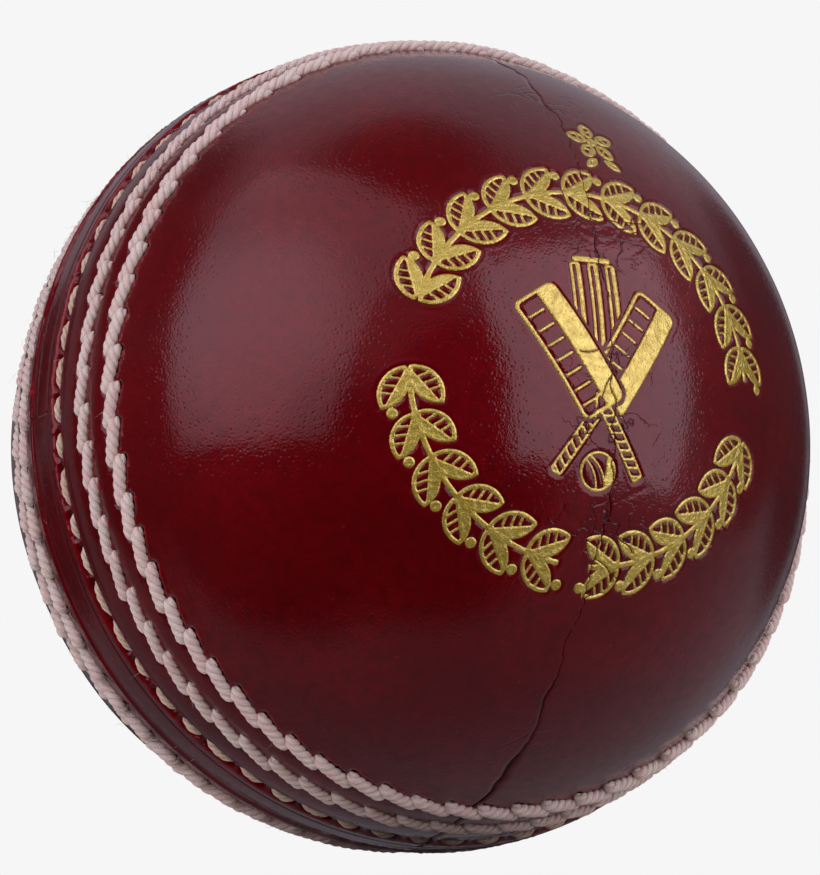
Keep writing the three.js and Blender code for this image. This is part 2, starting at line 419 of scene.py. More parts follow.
# -------- the leather's surface
SEAM_HALF = 14.5  # how far from the closing plane the sewing shapes the leather
STAMP_RADIUS = 29.5
FOIL_DEPTH = 0.11  # how deep the foil is pressed in


def ridges(s, phi, p):
    """Height of the seam's swelling, its middle ridge and the rim beside it, and a painted highlight round
    the burst blister on the rim.
    """
    h = 0.20 * smooth(13.6, 8.6, np.abs(s))
    middle_ridge = 0.34 + 0.10 * np.cos(phi - math.radians(100)) + 0.42 * fuller(phi)
    h = h + middle_ridge * bell(s + 0.6, 2.9, 5)
    rim = s + 2.95 + 0.16 * noise(p, 5.0, 31)
    h = h + (0.15 + 0.15 * buried(phi)) * bell(rim, 0.27)
    blister = np.hypot(s + 2.90, wrapped(phi - math.radians(176.0)) * R)  # a burst one, on the rim
    h = h + 0.13 * bell(blister - 0.27, 0.11) - 0.16 * bell(blister, 0.13)
    h = h + 0.16 * bell(s - 8.25, 1.1, 3) + 0.16 * bell(s + 8.25, 1.1, 3)  # between middle and outer rows
    h = h + 0.20 * bell(s - 4.2, 1.5, 3) + 0.14 * bell(s + 4.7, 1.3, 2)  # between inner and middle rows
    # the second value is a painted highlight: the leather round the burst blister is painted brighter
    return h, 0.9 * bell(blister, 0.34)


def dashed_groove(row, d, k, ahead, shown, coarse, fine):
    """The crease of an inner row, open where a stitch is shown: height, painted shade in the crease and its
    holes, and a painted highlight on its lips.
    """
    middle = row.pitch * R * 0.5
    offset = ahead - np.where(ahead > 0, middle, -middle)  # from the middle of the visible stitch
    half = row.reach[np.where(ahead > 0, k, (k - 1) % row.count)] * middle * 0.98
    open_here = smooth(half + 0.25, half - 0.35, np.abs(offset)) * shown
    cut = bell(d, 0.43, 3.0)
    lower = cut * (0.14 + 0.62 * open_here) * (0.08 + 0.92 * shown)
    lips = bell(np.abs(d) - 0.68, 0.22) * (0.035 + 0.04 * coarse + 0.04 * fine)
    pucker = 0.045 * np.sin(offset * 7.5 + 3 * coarse) * bell(np.abs(d) - 0.65, 0.30) * (1 - 0.6 * open_here)
    holes = bell(d, 0.30) * bell(np.abs(offset) - half - 0.05, 0.24) * shown
    rise = (lips + pucker) * shown - lower - 0.34 * holes
    # painted shade: darker in the open crease and in the stitch holes
    shade_and_dirt = np.maximum(cut * (0.15 + 0.65 * open_here) * shown, 0.9 * holes)
    # painted highlight along the crease's lips
    return rise, shade_and_dirt, 0.5 * bell(np.abs(d) - 0.58, 0.18) * (0.6 + 0.5 * coarse) * shown


def stitched_groove(row, d, k, ahead, coarse, fine):
    """The groove of a row of whole stitches, with its holes, lips and puckers: height, painted shade in the
    groove and holes, and a painted highlight on its edges.
    """
    pitch = row.pitch * R
    t_on, t_off = ahead / pitch, 1 + ahead / pitch  # along the stitch that starts here, and the one that ends
    half_groove = 0.80 * row.radius
    reach = row.reach[k]
    groove = np.maximum(bell(d - row.lean(t_on) * reach, half_groove, 3.0) * smooth(-0.16, -0.04, t_on),
                        bell(d - row.lean(t_off) * reach, half_groove, 3.0) * smooth(1.14, 1.02, t_off))
    start_hole = bell(d - row.slant * reach - 0.14, 0.22) * bell(ahead + 0.40, 0.24)
    end_hole = bell(d + row.slant * reach + 0.06, 0.22) * bell(ahead - 0.44, 0.24)
    sunk = 0.44 + 0.03 * coarse - 0.9 * (row.lift[k] < -0.1) * row.lift[k]  # deeper under a sunk stitch
    beside = d - row.lean(np.where(ahead > 0, t_on, t_off)) * reach - half_groove  # from the poleward edge
    across = beside + 2 * half_groove  # from the other edge
    lip = bell(beside - 0.22, 0.20) + 0.5 * bell(across + 0.22, 0.20)
    crinkle = bell(beside - 0.10, 0.36) + 0.7 * bell(d + 1.15, 0.40)
    rise = 0.055 * lip * (1 + 0.9 * fine + 0.7 * coarse)
    rise = rise - (groove * sunk + 0.14 * start_hole + 0.18 * end_hole)
    rise = rise + crinkle * (0.030 * np.sin(ahead * 8.2 + 4 * coarse) + 0.030 * fine)
    # painted shade along the groove and in the stitch holes
    shade_and_dirt = np.maximum(0.22 * groove, 0.40 * np.maximum(start_hole, end_hole))
    # painted highlight along the groove's raised edges, brighter near a stitch's start
    edge = bell(beside - 0.12, 0.26) * (0.45 + 0.55 * bell(ahead, 1.0)) * (0.75 + 0.6 * fine)
    other_edge = 0.35 * bell(across + 0.15, 0.22) * (0.7 + 0.5 * coarse)
    return rise, shade_and_dirt, np.maximum(edge * (1 - start_hole), other_edge)


def seam_relief(s, phi, p):
    """Height over the sphere near the seam, how dark it is painted (shade in grooves and holes, and the dark
    parting hairline), and its painted highlights on raised edges.
    """
    h, bright = ridges(s, phi, p)
    shade_and_dirt = np.zeros_like(s)
    coarse, fine = noise(p, 0.55, 5), noise(p, 0.26, 6)
    for row in ROWS:
        near = np.abs(s - row.side * row.arc) < 3.2
        if not near.any():
            continue
        k, ahead = row.nearest(phi[near])
        d = row.side * (s[near] - row.side * row.arc) - row.shift[k]  # + towards the pole
        if row.inner:
            shown = 1.0 if row.side > 0 else 1 - buried(phi[near])
            rise, groove_shade, edge = dashed_groove(row, d, k, ahead * R, shown, coarse[near], fine[near])
        else:
            rise, groove_shade, edge = stitched_groove(row, d, k, ahead * R, coarse[near], fine[near])
        h[near] += rise
        # painted shade of the grooves and holes, and painted highlight of their edges
        shade_and_dirt[near] = np.maximum(shade_and_dirt[near], groove_shade)
        bright[near] = np.maximum(bright[near], edge)
    parting = s - PARTING - 0.10 * coarse
    h = h - 0.015 * bell(parting, 0.14)
    shade_and_dirt = np.maximum(shade_and_dirt, 0.4 * bell(parting, 0.11))
    return h, np.clip(shade_and_dirt, 0, 1), np.clip(bright, 0, 1)


def leather_relief(n):
    """Height over the sphere (mm), darkening (painted shade in the seam's grooves and holes, with the dark
    parting line and cracks) and painted highlight on raised edges, at unit directions n.
    """
    s, phi = arc_and_clock(n)
    p = n * R
    h = undulation(p) - slump(s, phi)
    shade_and_dirt, bright = np.zeros_like(s), np.zeros_like(s)
    near = np.abs(s) < SEAM_HALF
    rise, shade_and_dirt[near], bright[near] = seam_relief(s[near], phi[near], p[near])
    h[near] += rise
    stamp = s > QUARTER_ARC - STAMP_RADIUS
    if stamp.any():
        rho = QUARTER_ARC - s[stamp]
        u, w = rho * np.cos(phi[stamp]), rho * np.sin(phi[stamp])
        gold, crack = on_map(grid_gold, u, w), on_map(grid_crack, u, w)
        h[stamp] += 0.02 * bell(gold - 0.30, 0.16) - FOIL_DEPTH * smooth(0.16, -0.06, gold)
        h[stamp] -= 0.030 * bell(crack, 0.11)
        shade_and_dirt[stamp] = np.maximum(shade_and_dirt[stamp], 0.30 * bell(crack, 0.08))
    return h, shade_and_dirt, bright


# -------- mesh helpers
def make_object(name, points, faces, attributes=None):
    """A smooth-shaded mesh with a number per point for each attribute; points are in mm."""
    mesh = bpy.data.meshes.new(name)
    if isinstance(faces, np.ndarray):
        loops, sizes = faces.reshape(-1), np.full(len(faces), faces.shape[1])
    else:
        loops, sizes = np.concatenate([np.asarray(f) for f in faces]), np.array([len(f) for f in faces])
    mesh.vertices.add(len(points))
    mesh.vertices.foreach_set("co", np.asarray(points * MM, np.float32).ravel())
    mesh.loops.add(len(loops))
    mesh.loops.foreach_set("vertex_index", np.asarray(loops, np.int32))
    mesh.polygons.add(len(sizes))
    mesh.polygons.foreach_set("loop_start", np.concatenate([[0], np.cumsum(sizes)[:-1]]).astype(np.int32))
    mesh.update(calc_edges=True)
    mesh.validate()
    for key, values in (attributes or {}).items():
        layer = mesh.attributes.new(key, "FLOAT", "POINT")
        layer.data.foreach_set("value", np.asarray(values, np.float32))
    mesh.polygons.foreach_set("use_smooth", np.full(len(mesh.polygons), True))
    obj = bpy.data.objects.new(name, mesh)
    bpy.context.scene.collection.objects.link(obj)
    return obj


def outward(obj):
    """Turns every closed part of a mesh to face out."""
    b = bmesh.new()
    b.from_mesh(obj.data)
    bmesh.ops.recalc_face_normals(b, faces=b.faces)
    b.to_mesh(obj.data)
    b.free()


def zipper(a, b, ta, tb):
    """Triangles between two chains of vertices that run side by side; ta and tb say how far along each is."""
    i = j = 0
    faces = []
    while i < len(a) - 1 or j < len(b) - 1:
        if j == len(b) - 1 or (i < len(a) - 1 and ta[i + 1] <= tb[j + 1]):
            faces.append((a[i], b[j], a[i + 1]))
            i += 1
        else:
            faces.append((a[i], b[j], b[j + 1]))
            j += 1
    return faces


class Sheet:
    """Rows of points from the seam edge up to the pole, over half a turn of clock angle."""

    def __init__(self, arcs, sinks, counts, first_clock):
        self.arcs, self.counts = list(arcs), list(counts)
        self.start = np.concatenate([[0], np.cumsum(np.array(counts) + 1)]).tolist()
        self.pole = self.start.pop()
        self.s = np.concatenate([np.full(n + 1, arc) for arc, n in zip(arcs, counts)] + [[QUARTER_ARC]])
        self.sink = np.concatenate([np.full(n + 1, sink) for sink, n in zip(sinks, counts)] + [[0.0]])
        turns = [first_clock + math.pi * np.arange(n + 1) / n for n in counts]
        self.phi = np.concatenate(turns + [[first_clock]])

    def faces(self, base=0):
        out = []
        for j in range(len(self.counts) - 1):
            a, b = base + self.start[j], base + self.start[j + 1]
            n, m = self.counts[j], self.counts[j + 1]
            i = np.arange(min(n, m))
            if n == m:
                out += np.stack([a + i, a + i + 1, b + i + 1, b + i], -1).tolist()
            elif n == 2 * m:
                out += np.stack([a + 2 * i, a + 2 * i + 1, a + 2 * i + 2, b + i + 1, b + i], -1).tolist()
            else:
                out += np.stack([a + i, a + i + 1, b + 2 * i + 2, b + 2 * i + 1, b + 2 * i], -1).tolist()
        last = base + self.start[-1]
        i = np.arange(self.counts[-1])
        out += np.stack([last + i, last + i + 1, np.full_like(i, base + self.pole)], -1).tolist()
        return out

    def edge(self, column, base=0):
        """The vertices along a joint edge, seam edge first and pole last."""
        return [base + s + (c if column else 0) for s, c in zip(self.start, self.counts)] + [base + self.pole]

    def foot(self, base=0):
        return [base + i for i in range(self.counts[0] + 1)]


# -------- leather quarters
EDGE_GAP = 0.02  # each half keeps this far from the parting, and each lining this far from its joint
FOOT = ((0, 3.0), (0, 1.2), (0, 0.30), (0.015, 0.03), (0.05, 0.006), (0.15, 0.0))  # arc from the edge, depth
# Where each zone of the grid starts and ends, the size of its cells, and their number over half a turn.
SEAM_ZONES = ((3.6, 4.9, 0.26, 480), (4.9, 7.9, 0.14, 480), (7.9, 8.6, 0.23, 480), (8.6, 12.4, 0.14, 480),
              (12.4, 14.0, 0.3, 480))
FRONT_ZONES = ((14.0, 28.0, 0.36, 240), (28.0, 36.0, 0.26, 480), (36.0, 44.0, 0.23, 480),
               (44.0, 54.0, 0.24, 240), (54.0, QUARTER_ARC - 0.2, 0.3, 120))
BACK_ZONES = ((14.0, 48.0, 0.6, 240), (48.0, QUARTER_ARC - 0.3, 0.6, 120))
LINING_ROWS, LINING_COUNT = 26, 60
WORN_HEIGHTS = ((11.5, 2.6), (0.5, 2.2), (-5.0, 2.0), (-13.5, 2.4), (27.0, 2.0))  # along the joint, and width


def spaced(a, b, step):
    return list(np.linspace(a, b, max(2, int(round(abs(b - a) / step)) + 1))[:-1])


def outer_sheet(start, side, first_clock):
    arcs, sinks = [start + arc for arc, _ in FOOT], [depth for _, depth in FOOT]
    counts = [480] * len(FOOT)
    first_zone = (start + 0.34, 3.6, 0.13, 480)
    for low, high, step, count in (first_zone, *SEAM_ZONES, *(FRONT_ZONES if side > 0 else BACK_ZONES)):
        more = spaced(low, high, step)
        arcs, sinks, counts = arcs + more, sinks + [0.0] * len(more), counts + [count] * len(more)
    return Sheet(arcs, sinks, counts, first_clock)


def quarter(name, side, first_clock, across):
    """One leather quarter. across is the axis that its joint lies square to (0 for x, 2 for z)."""
    edge = PARTING + (EDGE_GAP if side > 0 else -EDGE_GAP)
    start = edge if side > 0 else -edge
    on_front = across == 0 and side > 0
    outer = outer_sheet(start, side, first_clock)
    inner_arcs = np.linspace(start, QUARTER_ARC - 2.0, LINING_ROWS)
    inner = Sheet(inner_arcs, [0.0] * LINING_ROWS, [LINING_COUNT] * LINING_ROWS, first_clock)

    def placed(sheet):
        """Directions with the joint bent, distance from the joint, and distance along it."""
        s = sheet.s * side
        n = direction(s, sheet.phi)
        aside, other = n[:, across] * R, n[:, 2 - across] * R
        back_bend = 0.5 * np.sin(other / 6.0) + 0.25 * np.sin(other / 2.1 + 1)
        bend = joint_bend(other) if across == 0 else back_bend
        n[:, across] += bend * smooth(9.0, 14.0, np.abs(s)) * bell(aside, 16.0) / R
        return unit(n), np.abs(aside), other

    n, aside, other = placed(outer)
    h, shade_and_dirt, bright = leather_relief(n)
    beyond_seam = smooth(8.8, 9.6, outer.s)
    gape = smooth(-30.4, -31.8, other) if on_front else np.zeros_like(other)  # it opens at the underside
    seen = smooth(-0.2, 0.7, noise(n * R, 2.3, 21))  # elsewhere it fades in and out
    groove = bell(aside, 0.11) * (0.004 + 0.010 * seen + 0.18 * gape) + 0.004 * bell(aside, 0.45)
    radius = R + h - outer.sink - groove + 0.006 * bell(aside - 0.5, 0.3)
    ink = (0.30 + 0.70 * np.maximum(seen, gape)) * beyond_seam
    spread = n[:, across] * R
    fan = bell(spread - 1.2, 5.0) if on_front else bell(spread, 1.5)
    patches = sum(bell(other - z, w) for z, w in WORN_HEIGHTS) + 0.45 * bell(other + 30.0, 3.0)
    wear = np.clip(fan * patches, 0, 1) * (1.0 if on_front else 0.5) * beyond_seam

    away = np.zeros(3)  # from the joint, into this quarter
    away[across] = math.copysign(1.0, direction(0.0, first_clock + math.pi / 2)[across])
    parted = (0.004 + 0.070 * gape) * bell(aside, 0.5)
    points = n * radius[:, None] + away * parted[:, None]
    lining = placed(inner)[0] * LINING + away * EDGE_GAP
    base = len(points)
    faces = outer.faces() + [tuple(reversed(f)) for f in inner.faces(base)]
    for column in (0, 1):
        faces += zipper(outer.edge(column), inner.edge(column, base), outer.arcs + [QUARTER_ARC],
                        inner.arcs + [QUARTER_ARC])
    faces += zipper(outer.foot(), inner.foot(base), np.linspace(0, 1, outer.counts[0] + 1),
                    np.linspace(0, 1, LINING_COUNT + 1))
    clean = np.zeros(len(lining))
    # Of these, the first carries painted shade in the seam's grooves and holes together with the dark parting
    # line and cracks, and the second painted highlights on raised edges.
    attributes = {"shade_and_dirt": (shade_and_dirt, clean), "bright": (bright, clean),
                  "flesh": (smooth(0.35, 1.0, outer.sink), clean + 1),
                  "beside": (np.minimum(aside, 3.0), clean + 3.0), "ink": (ink, clean), "wear": (wear, clean)}
    obj = make_object(name, np.concatenate([points, lining]), faces,
                      {key: np.concatenate(parts) for key, parts in attributes.items()})
    outward(obj)
    return obj


# -------- twisted thread
SAMPLES, HOP = 28, 6  # points along a stitch, and along its hidden hop to the next
PLIES, SIDES, TWIST = 3, 8, 2.5  # plies in a thread, sides of a ply, mm of thread for one turn
TUCK = 0.38  # how far a stitch's ends run on under its neighbours


def stitch_points(row, k):
    """The middle line of one stitch and its hidden hop to the next, as arc, clock, height and thickness."""
    t = 0.5 - 0.5 * np.cos(np.linspace(0, math.pi, SAMPLES))  # closer together at the ends
    u = 2 * t - 1
    after = (k + 1) % row.count
    length = wrapped(row.start[after] - row.start[k])
    if row.inner:
        overlap = 1.06
        half = row.reach[k] * length * 0.5
        clock = row.start[k] + length * 0.5 + u * half * overlap
        arc = row.arc + row.shift[k] - 0.10 * u
        height = row.seat + row.lift[k] - 0.62 * np.abs(u) ** 2.6
        thick = row.radius * (1 - 0.45 * np.abs(u) ** 3)
        next_length = wrapped(row.start[(after + 1) % row.count] - row.start[after])
        next_clock = row.start[after] + next_length * 0.5 * (1 - row.reach[after] * overlap)
        next_arc = row.arc + row.shift[after] + 0.10
    else:
        extra = TUCK / R
        clock = row.start[k] - extra + t * (length + 2 * extra)
        arc = row.arc + row.shift[k] + row.lean(t) * row.reach[k]
        whole = np.where(u < 0, 0.66, 0.74)  # beyond this the ends round off
        tip = np.maximum(np.abs(u) - whole, 0) / (1 - whole)
        height = row.seat + row.lift[k] - 0.46 * tip**2.6 - 0.05 * u * u + row.climb[k] * (t - 0.60)
        thick = row.radius * np.sqrt(1 - 0.94 * tip**2.2)
        next_clock = row.start[after] - extra
        next_arc = row.arc + row.shift[after] + row.slant * row.reach[after]
    v = np.linspace(0, 1, HOP + 2)[1:-1]
    hop = (clock[-1] + v * wrapped(next_clock - clock[-1]), arc[-1] + (next_arc - arc[-1]) * v,
           height[-1] - 0.85 * np.sin(math.pi * v) ** 0.7, np.full(HOP, thick[-1] * 0.8))
    return [np.concatenate(parts) for parts in zip((clock, arc, height, thick), hop)]


def thread_row(row, name, seed):
    """A row as one endless three-ply thread, with a few loose fibres."""
    stitches = [stitch_points(row, k) for k in range(row.count)]
    clock, arc, height, thick = (np.concatenate(parts) for parts in zip(*stitches))
    n = direction(arc * row.side, clock)
    middle = n * (R + height)[:, None]
    ahead = unit(np.roll(middle, -1, 0) - np.roll(middle, 1, 0))
    # a steady side vector: towards the back pole along the surface
    side = unit(along_surface(along_surface(np.array([0.0, -1.0, 0.0]), n), ahead))
    up = np.cross(side, ahead)
    step = np.linalg.norm(np.roll(middle, -1, 0) - middle, axis=1)
    length = step.sum()
    run = np.concatenate([[0], np.cumsum(step)[:-1]])
    uneven = 0.07 * np.interp(run, np.linspace(0, length, row.count), row.twist)
    angle = uneven - TAU * round(length / TWIST) * run / length
    count = len(middle)
    ring = np.arange(SIDES) / SIDES * TAU
    i, j = np.arange(count)[:, None], np.arange(SIDES)[None, :]
    beside, beyond = (j + 1) % SIDES, (i + 1) % count
    quads = np.stack([i * SIDES + j, i * SIDES + beside, beyond * SIDES + beside, beyond * SIDES + j], -1)
    points, faces, core = [], [], []
    for ply in range(PLIES):
        theta = angle + ply * TAU / PLIES
        out = np.cos(theta)[:, None] * up + np.sin(theta)[:, None] * side
        centre = middle + out * (thick * 0.45)[:, None]
        along = unit(np.roll(centre, -1, 0) - np.roll(centre, 1, 0))
        e1 = unit(along_surface(out, along))
        e2 = np.cross(along, e1)
        round_ply = np.cos(ring)[None, :, None] * e1[:, None] + np.sin(ring)[None, :, None] * e2[:, None]
        tube = centre[:, None] + (thick * 0.57)[:, None, None] * round_ply
        points.append(tube.reshape(-1, 3))
        faces.append(quads.reshape(-1, 4) + ply * count * SIDES)
        distance = np.linalg.norm(tube - middle[:, None], axis=2) / thick[:, None]
        core.append(np.clip(1.25 - 1.25 * distance, 0, 1).ravel())  # 1 deep between the plies, where the thread is painted in shade
    loose_points, loose_faces = loose_fibres(row, PLIES * count * SIDES, seed)
    tone = np.repeat(row.tone, SAMPLES + HOP)
    values = {"tone": np.tile(np.repeat(tone, SIDES), PLIES), "core": np.concatenate(core),
              "along": np.tile(np.repeat(run, SIDES), PLIES),
              "around": np.tile(np.cos(ring) * 0.5 + 0.5, count * PLIES)}
    rest = np.full(len(loose_points), 0.3)
    return make_object(name, np.concatenate(points + [loose_points]), np.concatenate(faces + [loose_faces]),
                       {key: np.concatenate([value, rest]) for key, value in values.items()})


def loose_fibres(row, base, seed):
    """Thin three-sided hairs that start in the thread."""
    strands, sections, corners = 90, 7, 3
    rng = np.random.default_rng(seed)
    points, faces = [], []
    for i in range(strands):
        k = rng.integers(row.count)
        clock = row.start[k] + rng.uniform(0, row.pitch)
        arc = row.arc + rng.uniform(-0.4, 0.4)
        n = direction(arc * row.side, clock)
        root = n * (R + row.seat + row.radius * 0.55)
        way = rng.normal(size=3)
        way = unit(way - n * way.dot(n) * 0.6) + n * 0.35
        bend = rng.normal(size=3) * 0.9
        length, thin = rng.uniform(0.4, 1.1), rng.uniform(0.010, 0.016)
        a = unit(np.cross(way, n))
        b = unit(np.cross(way, a))
        for t in np.arange(sections) / (sections - 1):
            centre = root + way * length * t + bend * 0.35 * length * t * t - n * 0.25 * t * t
            for turn in TAU * np.arange(corners) / corners:
                points.append(centre + (a * math.cos(turn) + b * math.sin(turn)) * thin * (1.15 - t))
        for j in range(sections - 1):
            first = base + (i * sections + j) * corners
            for m in range(corners):
                x, y = first + m, first + (m + 1) % corners
                faces.append((x, y, y + corners, x + corners))
    return np.array(points), np.array(faces)


# -------- gilt foil
FOIL_BOTTOM = -0.16  # the skin's underside, from the sphere


def foil(name, grid):
    """A thin closed skin over the cells of the map where the grid is below zero."""
    worn = np.maximum(grid, 0.055 - grid_crack)  # broken along the cracks
    inside = worn < 0
    points, index = [], {}

    def corner(i, j):
        if (i, j) not in index:
            index[i, j] = len(points)
            points.append((U0 + j * CELL, W0 + i * CELL))
        return index[i, j]

    def crossing(start, end):
        """The point between two corners where the map crosses zero."""
        (i, j), (k, l) = key = (start, end) if start < end else (end, start)
        if key not in index:
            t = min(0.97, max(0.03, worn[i, j] / (worn[i, j] - worn[k, l])))
            index[key] = len(points)
            points.append((U0 + (j + t * (l - j)) * CELL, W0 + (i + t * (k - i)) * CELL))
        return index[key]

    faces = []
    some = inside[:-1, :-1] | inside[1:, :-1] | inside[:-1, 1:] | inside[1:, 1:]
    for i, j in zip(*np.nonzero(some)):
        ring = ((i, j), (i, j + 1), (i + 1, j + 1), (i + 1, j))
        flags = [inside[c] for c in ring]
        if flags[0] == flags[2] and flags[1] == flags[3] and flags[0] != flags[1]:  # two opposite corners
            for m in (0, 2) if flags[0] else (1, 3):
                before, at, after = ring[m - 1], ring[m], ring[(m + 1) % 4]
                faces.append((crossing(before, at), corner(*at), crossing(at, after)))
            continue
        face = []
        for m in range(4):
            after = (m + 1) % 4
            if flags[m]:
                face.append(corner(*ring[m]))
            if flags[m] != flags[after]:
                face.append(crossing(ring[m], ring[after]))
        faces.append(tuple(face))
    u, w = np.array(points).T
    n = direction(QUARTER_ARC - np.hypot(u, w), np.arctan2(w, u))
    depth = -on_map(worn, u, w)
    relief = -0.075 + 0.075 * smooth(0.0, 0.12, depth) - 0.030 * smooth(0.14, 0.34, depth)
    level = R + undulation(n * R)
    count = len(points)
    edges = dict.fromkeys((a, b) for face in faces for a, b in zip(face, face[1:] + face[:1]))
    walls = [(b, a, a + count, b + count) for a, b in edges if (b, a) not in edges]
    under = [tuple(v + count for v in reversed(face)) for face in faces]
    skin = np.concatenate([n * (level + relief)[:, None], n * (level + FOIL_BOTTOM)[:, None]])
    obj = make_object(name, skin, faces + under + walls)
    outward(obj)
    return obj


# -------- materials
class Paint:
    """A small helper for building a material's nodes."""

    def __init__(self, name):
        self.material = bpy.data.materials.new(name)
        self.material.use_nodes = True
        self.nodes, self.links = self.material.node_tree.nodes, self.material.node_tree.links
        self.shader = self.nodes["Principled BSDF"]
        self.place = self.nodes.new("ShaderNodeTexCoord").outputs["Object"]

    def feed(self, socket, value):
        """Links an output to a socket, or sets the socket to a number or a colour."""
        if isinstance(value, (int, float)):
            socket.default_value = value
        elif isinstance(value, tuple):
            socket.default_value = (*value, 1.0)
        else:
            self.links.new(value, socket)

    def attribute(self, name):
        node = self.nodes.new("ShaderNodeAttribute")
        node.attribute_name = name
        return node.outputs["Fac"]

    def noise(self, scale, detail=2.0, rough=0.5):
        node = self.nodes.new("ShaderNodeTexNoise")
        node.inputs["Scale"].default_value = scale
        node.inputs["Detail"].default_value = detail
        node.inputs["Roughness"].default_value = rough
        self.links.new(self.place, node.inputs["Vector"])
        return node.outputs["Fac"]

    def cells(self, scale, feature="F1", warp=None):
        node = self.nodes.new("ShaderNodeTexVoronoi")
        node.feature = feature
        node.inputs["Scale"].default_value = scale
        place = self.place
        if warp is not None:
            shift = self.nodes.new("ShaderNodeVectorMath")
            shift.operation = "MULTIPLY_ADD"
            self.links.new(warp, shift.inputs[0])
            shift.inputs[1].default_value = (0.004, -0.003, 0.0035)  # metres each way
            self.links.new(place, shift.inputs[2])
            place = shift.outputs[0]
        self.links.new(place, node.inputs["Vector"])
        return node.outputs["Distance"]

    def math(self, operation, *values, clamp=False):
        node = self.nodes.new("ShaderNodeMath")
        node.operation = operation
        node.use_clamp = clamp
        for socket, value in zip(node.inputs, values):
            self.feed(socket, value)
        return node.outputs[0]

    def fit(self, value, low, high, out_low=0.0, out_high=1.0):
        node = self.nodes.new("ShaderNodeMapRange")
        for socket, x in zip(("From Min", "From Max", "To Min", "To Max"), (low, high, out_low, out_high)):
            node.inputs[socket].default_value = x
        self.links.new(value, node.inputs["Value"])
        return node.outputs["Result"]

    def mix(self, factor, a, b):
        node = self.nodes.new("ShaderNodeMix")
        node.data_type = "RGBA"
        for socket, value in ((node.inputs[0], factor), (node.inputs[6], a), (node.inputs[7], b)):
            self.feed(socket, value)
        return node.outputs[2]

    def bump(self, height, distance, before=None):
        node = self.nodes.new("ShaderNodeBump")
        node.inputs["Strength"].default_value = 1.0
        node.inputs["Distance"].default_value = distance
        self.links.new(height, node.inputs["Height"])
        if before is not None:
            self.links.new(before, node.inputs["Normal"])
        return node.outputs["Normal"]

    def set(self, **sockets):
        for name, value in sockets.items():
            self.feed(self.shader.inputs[name.replace("_", " ")], value)
        return self.material


def leather_material():
    """Deep red polished leather, with painted shade in its grooves and holes, painted highlights on raised
    edges, dark cracks, inked at its joints.
    """
    deep, rich, blotch = (0.066, 0.0002, 0.0010), (0.098, 0.0003, 0.0014), (0.043, 0.0002, 0.0010)
    # a painted highlight colour for raised edges, dust specks, and a painted shade colour for grooves and
    # holes that also darkens the cracks
    raised, speck, shade_and_grime = (0.32, 0.002, 0.008), (0.16, 0.004, 0.010), (0.010, 0.0004, 0.0010)
    crack_colour, raw_flesh = (0.006, 0.0004, 0.0008), (0.30, 0.16, 0.09)
    p = Paint("polished_leather")
    shade_and_dirt, bright, flesh = (p.attribute(x) for x in ("shade_and_dirt", "bright", "flesh"))
    beside, ink, wear = (p.attribute(x) for x in ("beside", "ink", "wear"))
    broad, mottled = p.noise(90, 3), p.noise(900, 4, 0.6)
    colour = p.mix(p.fit(broad, 0.35, 0.65), deep, rich)
    colour = p.mix(p.fit(mottled, 0.40, 0.66, 0.0, 0.60), colour, blotch)
    # painted highlight on raised edges
    colour = p.mix(p.math("MULTIPLY", bright, 0.9, clamp=True), colour, raised)
    colour = p.mix(p.fit(p.cells(420), 0.04, 0.09, 0.6, 0.0), colour, speck)
    # painted shade in grooves and stitch holes, with the dark parting line and cracks
    colour = p.mix(p.fit(shade_and_dirt, 0.15, 1.0, 0.0, 0.88), colour, shade_and_grime)
    # the joint's hairline, and the web of fine cracks on worn leather
    ragged = p.math("ADD", beside, p.fit(p.noise(3500, 2), 0.3, 0.7, -0.05, 0.05))
    hairline = p.math("MULTIPLY", p.fit(ragged, 0.02, 0.075, 1.0, 0.0), ink)
    web = p.cells(330, "DISTANCE_TO_EDGE", warp=p.noise(500, 3))
    crazed = p.math("MULTIPLY", p.fit(web, 0.012, 0.045, 1.0, 0.0), p.fit(wear, 0.25, 0.8))
    lines = p.math("MAXIMUM", hairline, p.math("MULTIPLY", crazed, 0.8), clamp=True)
    colour = p.mix(lines, colour, crack_colour)
    colour = p.mix(flesh, colour, raw_flesh)
    rough = p.math("ADD", p.fit(mottled, 0.3, 0.7, 0.42, 0.52), p.math("MULTIPLY", shade_and_dirt, 0.2))
    rough = p.math("ADD", rough, p.math("MULTIPLY", flesh, 0.4), clamp=True)
    pores = p.fit(p.cells(2100), 0.0, 0.35)
    grain = p.math("ADD", p.noise(4300), p.math("MULTIPLY", pores, 0.9))
    normal = p.bump(p.noise(420), 0.000026, before=p.bump(grain, 0.000013))
    normal = p.bump(p.math("MULTIPLY", lines, -1.0), 0.000060, before=normal)
    return p.set(Base_Color=colour, Roughness=rough, Normal=normal, IOR=1.5, Specular_IOR_Level=0.7,
                 Specular_Tint=(1.0, 0.02, 0.05), Coat_Weight=1.0, Coat_Roughness=0.045, Coat_IOR=1.5,
                 Coat_Normal=normal)


